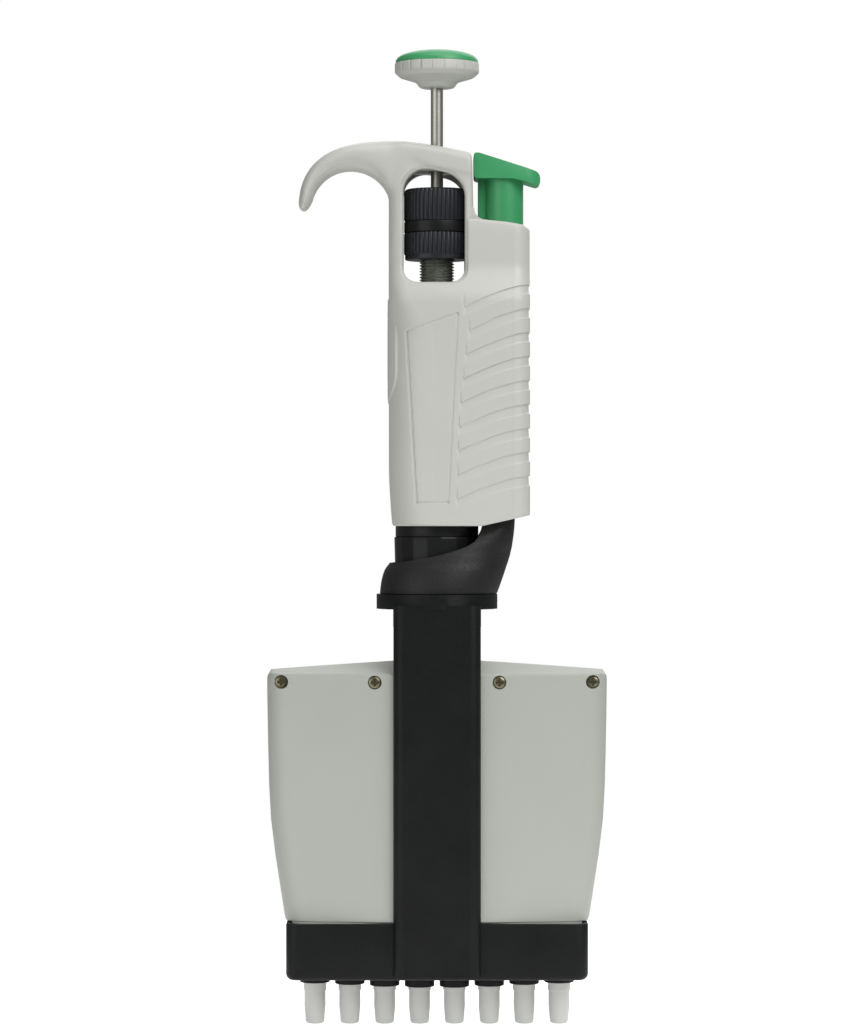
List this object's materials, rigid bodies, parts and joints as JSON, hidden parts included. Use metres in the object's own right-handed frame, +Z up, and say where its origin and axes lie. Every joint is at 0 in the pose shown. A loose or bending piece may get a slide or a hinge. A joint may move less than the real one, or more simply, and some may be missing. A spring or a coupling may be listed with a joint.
{
  "type": "multichannel pipette",
  "caption": "Hand-held air-displacement pipette with a row of nozzles, a plunger with a volume screw, a side tip ejector and a module that swivels.",
  "frame": {"origin": "on the plunger axis, at the plane of the nozzle tips", "axes": "+Z up the handle, +X towards the ejector button, front towards -Y"},
  "size_m": [0.0874, 0.0312, 0.2511],
  "materials": {
    "handle_grey": "satin moulded",
    "shell_grey": "satin moulded",
    "green_plastic": "satin moulded",
    "neck_black": "satin moulded",
    "nut_black": "satin moulded",
    "knob_black": "satin moulded",
    "arm_black": "fine moulded texture",
    "ejector_black": "satin moulded",
    "clear_lens": "polished",
    "seal_rubber": "moulded",
    "brass": "turned",
    "counter_white": "moulded",
    "spring_steel": "drawn wire",
    "steel": "ground",
    "screw_nickel": "plated",
    "aluminium": "machined",
    "nozzle_grey": "satin moulded"
  },
  "bodies": {
    "handle": {"handle_front_shell": "handle_grey", "handle_rear_shell": "handle_grey", "display_bezel": "handle_grey", "display_lens": "clear_lens", "handle_neck": "neck_black", "coupling_nut": "nut_black", "swivel_seal": "seal_rubber", "thread_nut": "brass", "counter_sleeve": "counter_white", "return_spring": "spring_steel", "blowout_spring": "spring_steel", "ejector_spring": "spring_steel"},
    "volume_stop": {"stop_washer": "brass"},
    "knob": {"volume_knob": "knob_black", "knob_band": "knob_black", "volume_screw": "steel"},
    "lock": {"lock_ring": "knob_black"},
    "units": {"counter_ring_units": "counter_white"},
    "tens": {"counter_ring_tens": "counter_white"},
    "hundreds": {"counter_ring_hundreds": "counter_white"},
    "plunger": {"push_button": "handle_grey", "button_cap": "green_plastic", "plunger_rod": "steel", "rod_collar": "brass"},
    "ejector": {"ejector_button": "green_plastic", "ejector_rod": "steel", "ejector_arm": "arm_black"},
    "module": {"module_front_shell": "shell_grey", "module_rear_shell": "shell_grey", "shell_screws": "screw_nickel", "module_stem": "steel", "seal_plate": "aluminium", "cone_plate": "aluminium", "piston_seals": "seal_rubber", "guide_rods": "steel", "bar_springs": "spring_steel", "ejector_return_spring": "spring_steel", "tip_cone_1": "nozzle_grey", "tip_cone_2": "nozzle_grey", "tip_cone_3": "nozzle_grey", "tip_cone_4": "nozzle_grey", "tip_cone_5": "nozzle_grey", "tip_cone_6": "nozzle_grey", "tip_cone_7": "nozzle_grey", "tip_cone_8": "nozzle_grey"},
    "piston_bar": {"drive_rod": "steel", "piston_crossbar": "aluminium", "piston_1": "steel", "piston_2": "steel", "piston_3": "steel", "piston_4": "steel", "piston_5": "steel", "piston_6": "steel", "piston_7": "steel", "piston_8": "steel"},
    "ejector_frame": {"ejector_column": "ejector_black", "ejector_bar": "ejector_black"}
  },
  "joints": [
    {"name": "volume_travel", "type": "slide", "parent": "handle", "child": "volume_stop", "axis": [0, 0, 1], "range_m": [-0.005, 0.004]},
    {"name": "knob_turn", "type": "hinge", "parent": "volume_stop", "child": "knob", "pos_m": [0, 0, 0.211], "axis": [0, 0, 1], "range_deg": [-2401, 1921]},
    {"name": "lock_turn", "type": "hinge", "parent": "knob", "child": "lock", "pos_m": [0, 0, 0.2], "axis": [0, 0, 1], "range_deg": [0, 60]},
    {"name": "units_turn", "type": "hinge", "parent": "handle", "child": "units", "pos_m": [0, 0, 0.167], "axis": [0, 0, 1], "range_deg": [-3602, 2882]},
    {"name": "tens_turn", "type": "hinge", "parent": "handle", "child": "tens", "pos_m": [0, 0, 0.173], "axis": [0, 0, 1], "range_deg": [-361, 289]},
    {"name": "hundreds_turn", "type": "hinge", "parent": "handle", "child": "hundreds", "pos_m": [0, 0, 0.179], "axis": [0, 0, 1], "range_deg": [-36.5, 29.2]},
    {"name": "plunger_press", "type": "slide", "parent": "volume_stop", "child": "plunger", "axis": [0, 0, -1], "range_m": [0, 0.0095], "stiffness_N_per_m": 400, "springref_m": -0.02, "deforming": ["return_spring", "blowout_spring", "bar_springs"]},
    {"name": "ejector_press", "type": "slide", "parent": "handle", "child": "ejector", "axis": [0, 0, -1], "range_m": [0, 0.008], "stiffness_N_per_m": 500, "springref_m": -0.012, "deforming": ["ejector_spring", "ejector_return_spring"]},
    {"name": "module_turn", "type": "hinge", "parent": "handle", "child": "module", "pos_m": [0, 0, 0.115], "axis": [0, 0, 1], "continuous": true},
    {"name": "piston_bar_turn", "type": "hinge", "parent": "plunger", "child": "piston_bar", "pos_m": [0, 0, 0.121], "axis": [0, 0, 1], "continuous": true},
    {"name": "ejector_frame_turn", "type": "hinge", "parent": "ejector", "child": "ejector_frame", "pos_m": [0, 0, 0.1104], "axis": [0, 0, 1], "continuous": true}
  ],
  "couplings": [
    {"joint": "knob_turn", "follows": "volume_travel", "rad_per_m": 8377.6},
    {"joint": "units_turn", "follows": "volume_travel", "rad_per_m": 12566},
    {"joint": "tens_turn", "follows": "volume_travel", "rad_per_m": 1256.6},
    {"joint": "hundreds_turn", "follows": "volume_travel", "rad_per_m": 125.66},
    {"joint": "piston_bar_turn", "follows": "module_turn", "ratio": 1},
    {"joint": "ejector_frame_turn", "follows": "module_turn", "ratio": 1}
  ]
}
